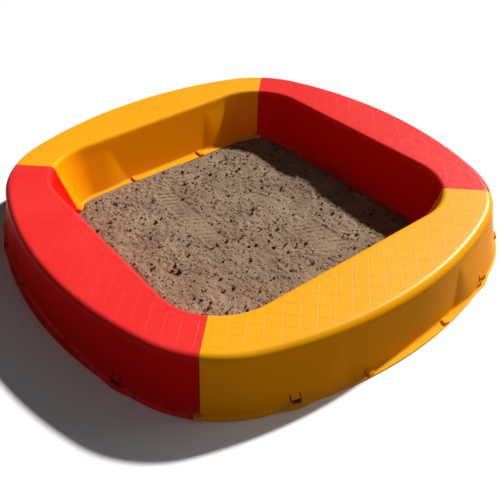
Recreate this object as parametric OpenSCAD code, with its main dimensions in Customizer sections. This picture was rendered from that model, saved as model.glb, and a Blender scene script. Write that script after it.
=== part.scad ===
// Sandbox of four plug-together seat walls round a bed of sand.
// It stands on the ground at z = 0, centred on the origin, with the front wall towards -Y.

/* [Plan] */
// Half of the width over the seats' outer top edges
half_width = 714; // [690:1:760]
// Radius of a wall's bowed outer edge
side_radius = 1223; // [1150:1:1400]
// Radius of the outer corners at seat height
corner_radius = 344; // [300:1:370]
// Half of the width of the opening between the seats' inner edges
opening_half = 512; // [490:1:530]
// Radius of the opening's corners at seat height
opening_radius = 204; // [190:1:230]
// Gap between two neighbouring walls
joint_gap = 1; // [0.6:0.1:3]

/* [Wall section] */
// Height of the seat above the ground
seat_height = 178; // [165:1:230]
// Thickness of the moulded wall
wall = 4; // [3:0.5:5]
// Rounding of the seat's outer edge
outer_round = 22; // [14:1:28]
// Rounding of the seat's inner edge
inner_round = 16; // [10:1:22]
// How far the outer wall's foot stands out, in the middle panel
outer_lean = 15; // [10:1:18]
// How far the outer wall's foot stands out at the flared ends
outer_flare = 30; // [25:1:32]
// How far the inner wall's foot stands in, in the middle panel
inner_lean = 54; // [44:1:58]
// How far the inner wall's foot stands in at the flared ends
inner_flare = 65; // [60:1:67]
// Height at which the flared ends leave the wall
flare_top = 138; // [110:1:142]
// Half of the outer middle panel's length at the top of the flare
panel_top_half = 224; // [215:1:245]
// Half of the outer middle panel's length at the foot
panel_foot_half = 206; // [190:1:212]
// Half of the inner middle panel's length at the top of the flare
inner_panel_top_half = 220; // [200:1:245]
// Half of the inner middle panel's length at the foot
inner_panel_foot_half = 168; // [160:1:212]
// Length of the slanted face between the panel and a flared end, at the foot
fan_length = 80; // [50:1:95]

/* [Foot] */
// Thickness of the foot flanges
flange = 4; // [3:0.5:5]
// How far the outer flange reaches beyond the seat's outer edge
outer_reach = 35; // [33:1:40]
// How far the inner flange reaches inside the seat's inner edge
inner_reach = 86; // [82:1:92]
// Depth of the recesses in the flanges that locate the braces and the outer clips
recess = 0.5; // [0.3:0.1:1]

/* [Stiffening] */
// Number of ribs across the underside of the seat
ribs = 5; // [1:2:5]
// Distance between neighbouring ribs
rib_pitch = 148; // [120:1:150]
// Thickness of a rib
rib_wall = 3; // [2:0.5:4]
// Depth of a rib below the seat
rib_depth = 42; // [20:1:60]

/* [Braces] */
// Distance of each brace from the middle of its wall
brace_offset = 148; // [110:1:156]
// Width of a brace and of its tongues
brace_width = 18; // [14:1:24]
// Height of a brace's tongues above the flange
tongue_height = 7; // [5:0.5:12]
// Height of a brace's top, between the walls
brace_height = 26; // [20:1:34]
// Thickness of a brace's channel
brace_wall = 3; // [2:0.5:4]
// Clearance round a tongue in its slot
slot_clearance = 0.4; // [0.2:0.1:0.8]

/* [Cover hooks] */
// Distance of each cover hook from the middle of its wall
hook_offset = 356; // [335:1:380]
// Width of a hook's tongue
hook_width = 22; // [16:1:26]
// Length of a hook's tongue
hook_length = 18; // [12:1:24]
// Width of the slit on each side of the tongue
hook_slit = 4; // [3:0.5:5]
// Height of the mouth below the tongue
hook_mouth = 10; // [7:1:14]
// Height of the sill below the mouth
hook_sill = 9; // [6:1:12]
// Width of the rim round the mouth
hook_rim = 5; // [3:0.5:7]
// Length of the ear of the flange under a hook
hook_ear = 104; // [70:1:130]
// How far the ear stands out beyond the flange
hook_step = 6; // [3:1:9]

/* [Joint clips] */
// Width of a clip across the joint
clip_width = 28; // [26:1:34]
// Height of a clip
clip_height = 11; // [8:0.5:14]
// Diameter of the peg hole through an outer clip
peg_hole = 6; // [4:0.5:7]
// Material between the peg hole and an outer clip's end
peg_rim = 3.5; // [3:0.5:6]
// Diameter of a clip's two studs
stud = 6; // [4:0.5:6]
// Clearance round a stud, and round a clip in its pocket
clip_clearance = 0.3; // [0.2:0.1:0.5]

/* [Sand] */
// Mean depth of the sand
sand_depth = 10; // [8:1:60]
// Depth of the sand along the inner flanges
sand_edge = 5; // [4:0.5:40]
// Gap between the sand and the inner flanges
sand_gap = 0.3; // [0.2:0.1:2]
// Rise and fall of the sand's swells
swell_height = 2.6; // [0:0.1:3]
// Length of the longer swells
swell_length = 300; // [200:10:500]
// Height of the mound heaped against the right wall
mound_height = 14; // [0:1:30]
// Radius of the mound
mound_radius = 75; // [60:5:120]
// Distance of the mound's middle from the inner flange
mound_inset = 80; // [40:5:200]

/* [Hidden] */
$fn = 96;

red = [0.86, 0.13, 0.13];
yellow = [0.98, 0.70, 0.06];
sand_colour = [0.58, 0.49, 0.41];

// The bowed side's centre lies behind the box's middle, and its arc runs tangent into the corner's arc.
bow = side_radius - half_width;
corner_at = (sqrt(2 * pow(side_radius - corner_radius, 2) - pow(bow, 2)) - bow) / 2;
tangent_angle = atan2(corner_at, corner_at + bow);
opening_corner_at = opening_half - opening_radius;
// Distances from the box's middle to the seat's corners, along a joint
outer_diagonal = corner_at * sqrt(2) + corner_radius;
inner_diagonal = opening_corner_at * sqrt(2) + opening_radius;
outer_tilt = atan(outer_lean / seat_height);
inner_tilt = atan(inner_lean / seat_height);
outer_flare_slope = (outer_flare - lean_at(outer_tilt, flare_top)) / flare_top;
inner_flare_slope = (inner_flare - lean_at(inner_tilt, flare_top)) / flare_top;
// An outer clip reaches from under the seat's corner to past its peg hole, which clears the wall's face.
clip_start = outer_diagonal;
peg_at = outer_diagonal + outer_flare - outer_flare_slope * (flange + clip_height) + peg_hole / 2 + 1.5;
clip_end = peg_at + peg_hole / 2 + peg_rim;
stud_at = clip_start + stud + 4;
stud_across = clip_width / 4 + 1;
// An inner clip reaches from near the flange's edge to just before the flared foot.
inner_clip_start = inner_diagonal - inner_reach + wall;
inner_clip_length = inner_reach - inner_flare - wall;
// Where a corner meets a side, the corner stands proud by push, and one of them runs on into the other.
push = 0.05;
lap = 3;
run_on = 12;
// How far the outer mass reaches behind the seat's outer edge
depth = half_width - opening_half + inner_reach + 40;
seat_gap = 0.2;
far = 2 * half_width;
below = 1;
above = 30;

// How far a wall of this tilt stands out at height z
function lean_at(tilt, z) = (seat_height - z) * tan(tilt);

// Point of a wall's outer face, u along the wall from its middle, reach beyond the seat's outer edge
function outer_point(u, reach, z) =
    [u, sqrt(pow(side_radius + reach, 2) - u * u) - bow, z];

// Everything inside the outer wall's face in section, r from the arc's centre, drawn in by inset
module outer_section(r, inset, low) {
    top = seat_height - inset;
    skin = inset / cos(outer_tilt);
    back = max(0, r - depth);
    round = outer_round - inset;
    centre = [r + lean_at(outer_tilt, seat_height - outer_round) - outer_round / cos(outer_tilt),
        seat_height - outer_round];
    difference() {
        polygon([[back, low], [r + lean_at(outer_tilt, low) - skin, low],
            [r + lean_at(outer_tilt, top) - skin, top], [back, top]]);
        difference() {
            translate(centre + [0, round * sin(outer_tilt)]) square(3 * outer_round);
            translate(centre + [0.05, 0.05]) circle(round);
        }
    }
}

// The open space inside the inner wall's face in section, r from the arc's centre, grown by inset
module opening_section(r, inset, low) {
    top = seat_height - inset;
    skin = inset / cos(inner_tilt);
    round = inner_round - inset;
    centre = [r - lean_at(inner_tilt, seat_height - inner_round) + inner_round / cos(inner_tilt),
        seat_height - inner_round];
    polygon([[0, low], [r - lean_at(inner_tilt, low) + skin, low], [r - lean_at(inner_tilt, top) + skin, top],
        [r - lean_at(inner_tilt, top) + skin, top + above], [0, top + above]]);
    difference() {
        translate(centre + [-2 * inner_round, round * sin(inner_tilt)])
            square([2 * inner_round, top + above - centre[1] - round * sin(inner_tilt)]);
        translate(centre + [-0.05, 0.05]) circle(round);
    }
}

// The wedge by which a flared end stands out of the outer wall, in section
module outer_flare_section(r, inset, low) {
    skin = inset / cos(atan(outer_flare_slope));
    function face(z) = r + outer_flare - outer_flare_slope * z - skin;
    polygon([[face(low), low], [face(flare_top + 10), flare_top + 10],
        [r - 40, flare_top + 10], [r - 40, low]]);
}

// The wedge by which a flared end stands out of the inner wall, in section
module inner_flare_section(r, inset, low) {
    skin = inset / cos(atan(inner_flare_slope));
    function face(z) = r - inner_flare + inner_flare_slope * z + skin;
    polygon([[face(low), low], [face(flare_top + 10), flare_top + 10],
        [r + 40, flare_top + 10], [r + 40, low]]);
}

// Turns a section along the bowed side of a wall that faces +Y, between two angles from its middle.
module turn_side(from, to) {
    translate([0, -bow, 0]) rotate([0, 0, 90 - to]) rotate_extrude(angle = to - from) children();
}

// Turns a section round the outer corner at the +X end.
module turn_corner() {
    translate([corner_at, corner_at, 0])
        rotate([0, 0, 43]) rotate_extrude(angle = 47 - tangent_angle + lap) children();
}

// Runs a section along the straight inner side.
module run_inner(from, to) {
    translate([from, 0, 0]) rotate([90, 0, 90]) linear_extrude(height = to - from) children();
}

// Turns a section round the opening's corner at the +X end, and more degrees into the side.
module turn_opening_corner(more) {
    translate([opening_corner_at, opening_corner_at, 0])
        rotate([0, 0, 43]) rotate_extrude(angle = 47 + more) children();
}

// Draws its children at both ends of a wall.
module both_ends() {
    for (side = [0, 1]) mirror([side, 0, 0]) children();
}

// All that lies behind the plane through three points, seen from +Y (facing 1) or -Y (facing -1)
module behind(a, b, c, facing, inset) {
    raw = cross(b - a, c - a);
    n = raw * (raw[1] * facing > 0 ? 1 : -1) / norm(raw);
    translate(a - inset * n) rotate([0, acos(n[2]), atan2(n[1], n[0])])
        translate([-far, -far, -2 * far]) cube(2 * far);
}

// The arch of a wall as a full mass, its faces drawn in by inset
module arch(inset, low) {
    difference() {
        union() {
            turn_side(-tangent_angle, tangent_angle) outer_section(side_radius, inset, low);
            both_ends() turn_corner() outer_section(corner_radius + push, inset, low);
        }
        union() {
            run_inner(-opening_corner_at, opening_corner_at)
                opening_section(opening_half, inset, low - below);
            both_ends() turn_opening_corner(lap)
                opening_section(opening_radius + push, inset, low - below);
        }
    }
}

// Both flared feet at the +X end, with the slanted face that joins each to the middle panel
module flared_end(inset, low) {
    lead = 20;
    intersection() {
        union() {
            turn_side(asin((panel_foot_half - lead) / side_radius), tangent_angle)
                outer_flare_section(side_radius, inset, low);
            turn_corner() outer_flare_section(corner_radius + push, inset, low);
        }
        behind(outer_point(panel_top_half, lean_at(outer_tilt, flare_top), flare_top),
            outer_point(panel_foot_half, outer_lean, 0),
            outer_point(panel_foot_half + fan_length, outer_flare, 0), 1, inset);
    }
    intersection() {
        union() {
            run_inner(inner_panel_foot_half - lead, opening_corner_at + run_on)
                inner_flare_section(opening_half, inset, low);
            turn_opening_corner(0) inner_flare_section(opening_radius + push, inset, low);
        }
        union() {
            behind([inner_panel_top_half, opening_half - lean_at(inner_tilt, flare_top), flare_top],
                [inner_panel_foot_half, opening_half - inner_lean, 0],
                [inner_panel_foot_half + fan_length, opening_half - inner_flare, 0], -1, inset);
            // Round the corner the flared foot is not cut.
            translate([opening_corner_at + 2 * run_on, 0, -far]) cube(2 * far);
        }
    }
}

// The two foot flanges, with the tabs that carry the outer clips
module flanges() {
    turn_side(-tangent_angle, tangent_angle) translate([side_radius + outer_lean - wall / 2, 0])
        square([outer_reach - outer_lean + wall / 2, flange]);
    both_ends() turn_corner() translate([corner_radius + outer_lean - wall / 2, 0])
        square([outer_reach - outer_lean + wall / 2 + push, flange]);
    both_ends() translate([corner_at, corner_at, 0]) rotate([0, 0, 43])
        rotate_extrude(angle = 2 + asin((clip_width / 2 + wall) / (corner_radius + outer_reach)))
            translate([corner_radius + outer_lean, 0])
                square([clip_end + 2 - outer_diagonal - outer_lean, flange]);
    run_inner(-opening_corner_at - run_on, opening_corner_at + run_on)
        translate([opening_half - inner_reach, 0]) square([inner_reach - inner_lean + wall / 2, flange]);
    both_ends() turn_opening_corner(0) translate([opening_radius - inner_reach + push, 0])
        square([inner_reach - inner_lean + wall / 2, flange]);
}

// Space between the two joint planes, drawn in from them by inset
module between_joints(inset) {
    translate([0, inset * sqrt(2), -2 * above])
        linear_extrude(height = seat_height + 4 * above) polygon([[0, 0], [far, far], [-far, far]]);
}

// Moves its children to the joint at the +X end, with +X outward along the joint
module at_joint(along) {
    rotate([0, 0, 45]) translate([along, 0, 0]) children();
}

// The floor that carries an outer clip inside the wall, at the +X end
module clip_pad() {
    at_joint(clip_start - wall) translate([0, -wall, -2 * below])
        cube([outer_reach + wall, clip_width / 2 + 2 * wall, flange + 2 * below]);
}

// The wall's hollow, with its ribs and clip pads left standing
module hollow() {
    difference() {
        intersection() {
            union() {
                arch(wall, -below);
                both_ends() flared_end(wall, -below);
            }
            between_joints(joint_gap / 2 + wall);
        }
        for (i = [0 : ribs - 1]) translate([(i - (ribs - 1) / 2) * rib_pitch - rib_wall / 2, 0,
            seat_height - wall - rib_depth]) cube([rib_wall, far, rib_depth + above]);
        both_ends() clip_pad();
    }
}

// Slots at the wall's foot for the tongues of both braces
module brace_slots() {
    width = brace_width + 2 * slot_clearance;
    height = tongue_height + seat_gap + slot_clearance;
    for (side = [-1, 1]) translate([side * brace_offset - width / 2, 0, flange - recess]) {
        translate([0, half_width - outer_round, 0]) cube([width, far, height]);
        cube([width, opening_half - inner_lean / 2, height]);
    }
}

// Moves its children to the cover hook at the +X end, with +Y outward from the seat's edge
module at_hook() {
    turn = asin(hook_offset / side_radius);
    translate([0, -bow, 0]) rotate([0, 0, -turn]) translate([0, side_radius, 0]) children();
}

// The opening of a cover hook, with its tongue left standing
module hook_opening() {
    width = hook_width + 2 * hook_slit;
    height = hook_mouth + hook_length;
    at_hook() difference() {
        translate([-width / 2, 0, hook_sill]) cube([width, 2 * outer_reach, height]);
        translate([-hook_width / 2, -1, hook_sill + hook_mouth])
            cube([hook_width, 3 * outer_reach, height]);
    }
}

// The rim that stands out round the lower part of a cover hook
module hook_frame() {
    width = hook_width + 2 * hook_slit + 2 * hook_rim;
    at_hook() translate([-width / 2, outer_lean + wall, 0])
        cube([width, outer_flare - outer_lean, hook_sill + hook_mouth]);
}

// The ear by which the flange stands out under a cover hook
module hook_ear_plate() {
    half = hook_ear / 2;
    root = sqrt(pow(side_radius + outer_reach, 2) - half * half) - side_radius - 0.5;
    at_hook() linear_extrude(height = flange)
        polygon([[-half, outer_lean + wall], [half, outer_lean + wall], [half, root],
            [hook_slit, outer_reach + hook_step], [-hook_slit, outer_reach + hook_step], [-half, root]]);
}

// Pocket and holes for the clips at the +X end
module clip_cuts() {
    at_joint(clip_start - clip_clearance) translate([0, -wall, flange - recess])
        cube([clip_end - clip_start + above, wall + clip_width / 2 + clip_clearance,
            clip_height + seat_gap + clip_clearance]);
    at_joint(peg_at) translate([0, 0, -below])
        cylinder(d = peg_hole + 2 * clip_clearance, h = flange + 2 * below);
    at_joint(stud_at) translate([0, stud_across, -below])
        cylinder(d = stud + 2 * clip_clearance, h = flange + 2 * below);
    at_joint(inner_clip_start + inner_clip_length / 2) translate([0, stud_across, -below])
        cylinder(d = stud + 2 * clip_clearance, h = flange + 2 * below);
}

// One moulded wall, facing +Y
module seat_wall() {
    difference() {
        intersection() {
            union() {
                arch(0, 0);
                both_ends() flared_end(0, 0);
                flanges();
                both_ends() hook_frame();
                both_ends() hook_ear_plate();
            }
            between_joints(joint_gap / 2);
        }
        hollow();
        brace_slots();
        both_ends() hook_opening();
        both_ends() clip_cuts();
    }
}

// One cross brace under a wall that faces +Y, side 1 or -1 of its middle
module cross_brace(side) {
    near = brace_offset - brace_width / 2;
    edge = brace_offset + brace_width / 2;
    outer_end = outer_point(edge, outer_reach, 0)[1] - 1;
    inner_end = opening_half - inner_reach + 1;
    shoulder_out = outer_point(edge, lean_at(outer_tilt, brace_height), 0)[1]
        - wall / cos(outer_tilt) - 2 * slot_clearance;
    shoulder_in = opening_half - lean_at(inner_tilt, brace_height) + wall / cos(inner_tilt) + slot_clearance;
    base = flange - recess + seat_gap;
    translate([side * brace_offset - brace_width / 2, 0, base]) difference() {
        union() {
            translate([0, inner_end, 0]) cube([brace_width, outer_end - inner_end, tongue_height]);
            translate([0, shoulder_in, 0])
                cube([brace_width, shoulder_out - shoulder_in, brace_height - base]);
        }
        translate([brace_wall, shoulder_in + brace_wall, -below])
            cube([brace_width - 2 * brace_wall, shoulder_out - shoulder_in - 2 * brace_wall,
                brace_height - base - brace_wall + below]);
    }
}

// The two studs of a clip, which drop into the flanges of both walls
module clip_studs() {
    for (side = [-1, 1]) translate([0, side * stud_across, seat_gap])
        cylinder(d = stud, h = flange + clip_height / 2);
}

// Clip over the outer foot of the joint at the +X end, with its outer corners cut off
module outer_clip() {
    length = clip_end - clip_start;
    half = clip_width / 2;
    cut = peg_rim;
    difference() {
        union() {
            at_joint(clip_start) translate([0, 0, flange - recess + seat_gap])
                linear_extrude(height = clip_height) polygon([[0, -half], [length - cut, -half],
                    [length, cut - half], [length, half - cut], [length - cut, half], [0, half]]);
            at_joint(stud_at) clip_studs();
        }
        at_joint(peg_at) translate([0, 0, -below])
            cylinder(d = peg_hole, h = flange + clip_height + 3 * below);
    }
}

// Clip over the inner foot of the joint at the +X end
module inner_clip() {
    at_joint(inner_clip_start) translate([0, -clip_width / 2, flange + seat_gap])
        cube([inner_clip_length, clip_width, clip_height]);
    at_joint(inner_clip_start + inner_clip_length / 2) clip_studs();
}

// Height of the sand's two crossing swells at a point
function swell(x, y) = swell_height * (sin(360 * (x + 0.4 * y) / swell_length)
    + sin(360 * (0.5 * x - y) / (0.8 * swell_length))) / 2;

// Height of the mound at a point
function mound(x, y) = let (from_middle = [x - opening_half + inner_reach + mound_inset, y - 20])
    mound_height * exp(-pow(norm(from_middle) / mound_radius, 2));

// Point of the sand's outline, on the arc of one of its four corners
function sand_corner(quarter, angle) = let (out = 90 * quarter + 45,
    corner = opening_radius - inner_reach - sand_gap)
        [sqrt(2) * opening_corner_at * cos(out) + corner * cos(angle),
         sqrt(2) * opening_corner_at * sin(out) + corner * sin(angle)];

// Bed of sand between the inner flanges: growing rings of its outline, each point at the sand's height
module sand_bed() {
    along = 6;
    outline = [for (quarter = [0 : 3]) let (turn = 90 * quarter + 90) each concat(
        [for (step = [0 : 15 : 90]) sand_corner(quarter, 90 * quarter + step)],
        [for (k = [1 : along - 1]) sand_corner(quarter, turn) * (1 - k / along)
            + sand_corner(quarter + 1, turn) * k / along])];
    // From the last ring at full height, the sand runs down to the flange.
    inside = 0.94;
    rings = 8;
    count = len(outline);
    middle = [[0, 0, sand_depth + swell(0, 0) + mound(0, 0)]];
    top = [for (ring = [1 : rings], p = outline * inside)
        let (x = p[0] * ring / rings, y = p[1] * ring / rings)
            [x, y, sand_depth + swell(x, y) + mound(x, y)]];
    edge = [for (z = [sand_edge, 0], p = outline) [p[0], p[1], z]];
    fan = [for (k = [0 : count - 1]) [0, 1 + (k + 1) % count, 1 + k]];
    bands = [for (ring = [0 : rings], k = [0 : count - 1], part = [0, 1])
        let (a = 1 + ring * count + k, b = 1 + ring * count + (k + 1) % count)
            part == 0 ? [a, b, b + count] : [a, b + count, a + count]];
    low = 1 + (rings + 1) * count;
    floor = [for (k = [0 : count - 1]) [low + count, low + k, low + (k + 1) % count]];
    polyhedron(concat(middle, top, edge, [[0, 0, 0]]), concat(fan, bands, floor));
}

module front_wall() { color(yellow) rotate([0, 0, 180]) seat_wall(); }
module left_wall() { color(red) rotate([0, 0, 90]) seat_wall(); }
module back_wall() { color(yellow) seat_wall(); }
module right_wall() { color(red) rotate([0, 0, -90]) seat_wall(); }

module front_brace_left() { color(yellow) rotate([0, 0, 180]) cross_brace(1); }
module front_brace_right() { color(yellow) rotate([0, 0, 180]) cross_brace(-1); }
module left_brace_left() { color(red) rotate([0, 0, 90]) cross_brace(1); }
module left_brace_right() { color(red) rotate([0, 0, 90]) cross_brace(-1); }
module back_brace_left() { color(yellow) cross_brace(1); }
module back_brace_right() { color(yellow) cross_brace(-1); }
module right_brace_left() { color(red) rotate([0, 0, -90]) cross_brace(1); }
module right_brace_right() { color(red) rotate([0, 0, -90]) cross_brace(-1); }

module front_left_clip() { color(yellow) rotate([0, 0, 180]) outer_clip(); }
module left_back_clip() { color(yellow) rotate([0, 0, 90]) outer_clip(); }
module back_right_clip() { color(yellow) outer_clip(); }
module right_front_clip() { color(yellow) rotate([0, 0, -90]) outer_clip(); }

module front_left_inner_clip() { color(yellow) rotate([0, 0, 180]) inner_clip(); }
module left_back_inner_clip() { color(yellow) rotate([0, 0, 90]) inner_clip(); }
module back_right_inner_clip() { color(yellow) inner_clip(); }
module right_front_inner_clip() { color(yellow) rotate([0, 0, -90]) inner_clip(); }

module sand_fill() { color(sand_colour) sand_bed(); }

front_wall();
left_wall();
back_wall();
right_wall();
front_brace_left();
front_brace_right();
left_brace_left();
left_brace_right();
back_brace_left();
back_brace_right();
right_brace_left();
right_brace_right();
front_left_clip();
left_back_clip();
back_right_clip();
right_front_clip();
front_left_inner_clip();
left_back_inner_clip();
back_right_inner_clip();
right_front_inner_clip();
sand_fill();
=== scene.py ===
"""Looks of a square plastic sandbox: four moulded seat walls, their braces and clips, and trodden sand.

A wall is worked out facing +Y and then turned to its side. Formulas are in millimetres, and
a mesh is made in metres.
"""

import bmesh
import bpy
import numpy as np
from mathutils import Matrix, Vector


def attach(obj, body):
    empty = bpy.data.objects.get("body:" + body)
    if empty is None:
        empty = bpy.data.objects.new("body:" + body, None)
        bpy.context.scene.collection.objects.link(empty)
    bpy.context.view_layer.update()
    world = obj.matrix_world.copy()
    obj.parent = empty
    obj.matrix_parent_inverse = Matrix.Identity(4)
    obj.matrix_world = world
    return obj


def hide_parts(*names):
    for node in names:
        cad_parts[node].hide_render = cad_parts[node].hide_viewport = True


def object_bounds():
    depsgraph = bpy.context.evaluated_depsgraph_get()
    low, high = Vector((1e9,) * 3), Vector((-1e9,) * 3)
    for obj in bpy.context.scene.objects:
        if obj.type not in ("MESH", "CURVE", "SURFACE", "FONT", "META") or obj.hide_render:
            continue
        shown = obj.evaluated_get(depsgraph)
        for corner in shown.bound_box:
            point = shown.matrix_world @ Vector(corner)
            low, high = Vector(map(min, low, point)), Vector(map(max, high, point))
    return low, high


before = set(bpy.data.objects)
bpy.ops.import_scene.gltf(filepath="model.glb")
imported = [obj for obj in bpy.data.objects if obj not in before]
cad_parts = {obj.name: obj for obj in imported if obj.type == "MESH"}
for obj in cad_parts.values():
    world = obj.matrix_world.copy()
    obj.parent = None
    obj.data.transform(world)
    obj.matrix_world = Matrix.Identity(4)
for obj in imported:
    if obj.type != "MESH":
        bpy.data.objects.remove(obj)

MM = 0.001
CAD_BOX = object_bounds()
RANDOM = np.random.default_rng(41)

# Plan of a wall
OUTER_REACH = 35.0
INNER_REACH = 86.0
HALF_WIDTH = CAD_BOX[1][0] / MM - OUTER_REACH
SIDE_RADIUS = 1223.0
CORNER_RADIUS = 344.0
OPENING_HALF = 512.0
OPENING_RADIUS = 204.0
JOINT_GAP = 1.0
BOW = SIDE_RADIUS - HALF_WIDTH
CENTRES_APART = SIDE_RADIUS - CORNER_RADIUS
CORNER_AT = (np.sqrt(2 * CENTRES_APART ** 2 - BOW ** 2) - BOW) / 2
TANGENT = np.arcsin(CORNER_AT / CENTRES_APART)
SIDE_END = SIDE_RADIUS * np.sin(TANGENT)
WALL_END = SIDE_END + CORNER_RADIUS * (np.pi / 4 - TANGENT)
OPENING_CORNER_AT = OPENING_HALF - OPENING_RADIUS
OPENING_END = OPENING_CORNER_AT + OPENING_RADIUS * np.pi / 4
STRAIGHT_HALF = 300.0
TURN_START = 190.0
COLUMN_COUNT, COLUMN_CLEAR = 112, 1.6
END_ZONE, END_STEPS = 16.0, (10, 7, 5, 3.6, 2.5, 1.6, 0.9, 0.4, 0)
OUTER_DIAGONAL = CORNER_AT * np.sqrt(2) + CORNER_RADIUS
INNER_DIAGONAL = OPENING_CORNER_AT * np.sqrt(2) + OPENING_RADIUS

# Section of a wall
SEAT_HEIGHT = CAD_BOX[1][2] / MM
TILE_HEIGHT = 0.14
SEAT_TOP = SEAT_HEIGHT - TILE_HEIGHT
WALL = 4.0
FLANGE = 4.0
LIP_ROUND = 1.6
OUTER_FOOT, INNER_FOOT = 10.0, 7.0
OUTER_LEAN, OUTER_FLARE, OUTER_ROUND = 15.0, 30.0, 22.0
INNER_LEAN, INNER_FLARE, INNER_ROUND = 54.0, 65.0, 16.0
FLARE_TOP = 138.0
OUTER_PANEL = (206.0, 224.0)
INNER_PANEL = (168.0, 220.0)
FAN_LENGTH, FAN_TIP, FAN_FOLD = 105.0, 10.0, 4.0
END_ROUND = 4.5
SEAT_END_ROUND = 0.02
FOOT_STEPS = (0, 0.25, 0.9, 2.0, 3.4)
FACE_STEPS = (13, 17, 19, 23, 25, 28, 31, 34)
FACE_ROWS, ROUND_ROWS = 19, 12
FILLET_SHARE = 0.75
SEAT_ACROSS = (0.04, 0.2, 0.36, 0.5, 0.64, 0.8, 0.96)
PILLAR_FOOT = 25.0
RIB_COUNT, RIB_PITCH, RIB_WALL, RIB_DEPTH = 5, 148.0, 3.0, 42.0
RIB_CLEAR_IN, RIB_CLEAR_OUT, RIB_ROUND, RIB_SUNK = 6.0, 8.0, 0.7, 0.5

# Cover hooks, brace slots and clips
HOOK_AT = 356.0
HOOK_HALF, HOOK_SLIT = 11.0, 4.0
HOOK_SILL, HOOK_MOUTH, HOOK_LENGTH = 9.0, 12.5, 15.5
HOOK_RIM, HOOK_EAR, HOOK_STEP = 4.0, 104.0, 6.0
HOOK_RIM_DEPTH, HOOK_RIM_ROUND, HOOK_BEND = 4.5, 1.4, 4.0
HOOK_BULGE, HOOK_BULGE_AT, HOOK_BULGE_LENGTH = 3.0, 2.0, 6.0
HOOK_ANGLE = np.arcsin(HOOK_AT / SIDE_RADIUS)
BRACE_AT, BRACE_HALF, TONGUE_HEIGHT, BRACE_HEIGHT = 148.0, 9.0, 7.0, 26.0
BRACE_INSIDE, BRACE_OUTSIDE = 26.0, 10.0
BRACE_ROUND, TONGUE_ROUND = 2.0, 1.5
SLOT_CLEAR, TOP_CLEAR = 0.4, 0.1
SLOT_TOP = FLANGE + TONGUE_HEIGHT + TOP_CLEAR
CLIP_HALF, CLIP_HEIGHT, CLIP_CLEAR = 14.0, 11.0, 0.3
CLIP_ROUND, CLIP_BEVEL, CLIP_BEVEL_MIDDLE = 4.0, 1.5, 0.45
INNER_CLIP_ROUND, INNER_CLIP_LIFT = 2.0, 0.2
POCKET_TOP = FLANGE + CLIP_HEIGHT + TOP_CLEAR
PEG_RADIUS, PEG_RIM, PEG_CLEAR, PEG_BEVEL = 3.0, 3.5, 1.5, 0.6
FOOT_SUNK = 0.3
BLOCK_STEPS = 4

# Tiles on the seat
TILE_SIZE, TILE_PITCH = 42.0, 43.0
TILE_MARGIN, TILE_EDGE, TILE_SLOPE = 16.0, 5.0, 0.6
TILE_SUNK, TILE_LEAST = 0.05, 0.12

# Sand, with wave lengths as the shortest and longest, and heights as on smooth ground and more on rough
SAND_COUNT = 300
SAND_DEPTH, SAND_GROUND = 10.0, 0.3
SWELL_HEIGHT, SWELL_LENGTH = 2.6, 300.0
MOUND_HEIGHT, MOUND_RADIUS, MOUND_AT = 14.0, 75.0, (346.0, 20.0)
RIM_REACH, RIM_LIMITS = 7.0, (-1, 16)
RIM_CORNER_REACH, RIM_CORNER_FROM, RIM_CORNER_EASE = 6.0, 130.0, 50.0
RIM_WAVES = ((1.4, 7, 1), (1.2, 17, 0), (1.0, 41, 2))
RIM_SLOPE, RIM_LOW, RIM_LIFT = 26.0, 1.5, 0.15
SHORT_AT, SHORT_HALF, SHORT_EASE, SHORT_BY = 1.1, 0.4, 0.2, 18.0
SHORT_DROP, SHORT_DROP_HALF, SHORT_DROP_RING, SHORT_DROP_EASE = 5.0, 0.5, 0.6, 0.3
RIPPLE_WAVES, CRUMB_WAVES, PIT_WAVES, PATCH_WAVES = (22, 70), (6, 22), (5, 14), (60, 200)
RIPPLE_HEIGHT, CRUMB_HEIGHT = 0.9, (0.3, 0.5)
RIPPLE_TRODDEN, CRUMB_TRODDEN = 0.5, 0.4
PIT_DEPTH, PIT_FROM = (2.2, 4.0), 1.3
BAR_HEIGHT, TREAD_DEPTH = (0.4, 1.7), 2.0
TREAD_SOFT_END, TREAD_SOFT_SIDE = 30.0, 7.0
TREAD_SLANT, TREAD_CLIMB = 0.5, 0.85
CLOD_COUNT, CLOD_SMALL, CLOD_LARGE, CLOD_SPREAD = 2800, 1.5, 6.0, 0.36
CLOD_DENT, CLOD_HEIGHT, CLOD_LIFT, CLOD_TRODDEN = 0.22, 0.85, 0.25, 0.7
TREADS = (
    ((-125, 120), (-0.05, -1), 400, 75, 24),
    ((140, -230), (0.06, -1), 220, 110, 24),
    ((135, 30), (0.35, -0.94), 150, 60, 24),
)
BIG_CLOD, BIG_CLOD_AT = 10.0, (-315, -104)
HOLLOW_AT, HOLLOW_RADIUS, HOLLOW_DEPTH = (300, 125), 50, 6

# Colours, in linear light
# Seat colours are the plastic as lit and wall colours the plastic as shaded: painted light and shade.
RED_SEAT, RED_PALE, RED_WALL = (0.90, 0.026, 0.024), (0.94, 0.036, 0.034), (0.68, 0.005, 0.004)
YELLOW_SEAT, YELLOW_PALE, YELLOW_WALL = (0.96, 0.41, 0.002), (0.98, 0.43, 0.004), (0.96, 0.325, 0.001)
DUST, DUST_SHARE = (0.34, 0.25, 0.17), 0.22
NONE, FULL = (0.0, 0.0, 0.0), (1.0, 1.0, 1.0)
# Share of the pale seat colour by height: painted light on the flange and the seat top, painted shade on the
# walls between.
PALE_WHERE_LIT = [(0.03, FULL), (0.075, NONE), (0.89, NONE), (0.99, FULL)]
# Painted shade darkening the grooves between the seat tiles.
PAINTED_GROOVE_SHADE, PAINTED_GROOVE_SHARE = (0.16, 0.09, 0.03), 0.95
SAND_DAMP, SAND_MAIN, SAND_PALE = (0.235, 0.152, 0.093), (0.29, 0.194, 0.120), (0.35, 0.246, 0.157)
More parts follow.
